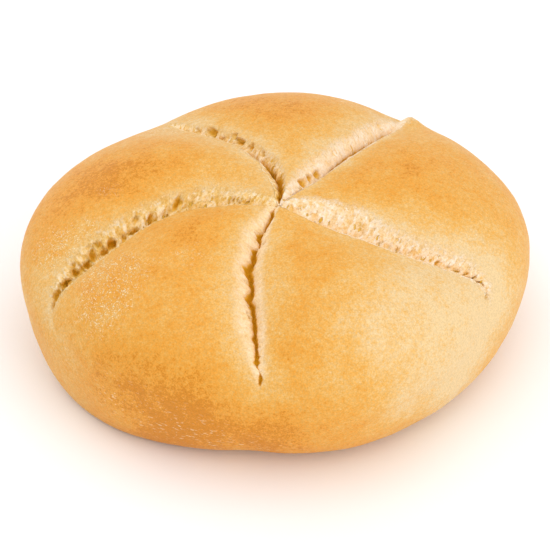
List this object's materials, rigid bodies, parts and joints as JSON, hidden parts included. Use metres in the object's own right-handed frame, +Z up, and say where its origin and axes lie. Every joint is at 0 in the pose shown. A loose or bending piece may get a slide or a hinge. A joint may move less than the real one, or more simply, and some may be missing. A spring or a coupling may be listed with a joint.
{
  "type": "bread roll",
  "caption": "Round wheat bread roll with a golden crust, domed and cut with a star of curved arms that opened into torn, pale cracks; flat underneath.",
  "frame": {"origin": "under the middle of the roll's bounding box, on the surface that it rests on", "axes": "+Z up, from the flat base to the domed top; +X along the roll's widest side; -Y towards the side where the longest petal shows"},
  "size_m": [0.1138, 0.1064, 0.0428],
  "materials": {
    "crust": "golden baked wheat crust, satin and finely blistered, with pale torn crumb in the cuts"
  },
  "bodies": {
    "root": {"bread_roll": "crust"}
  },
  "joints": []
}
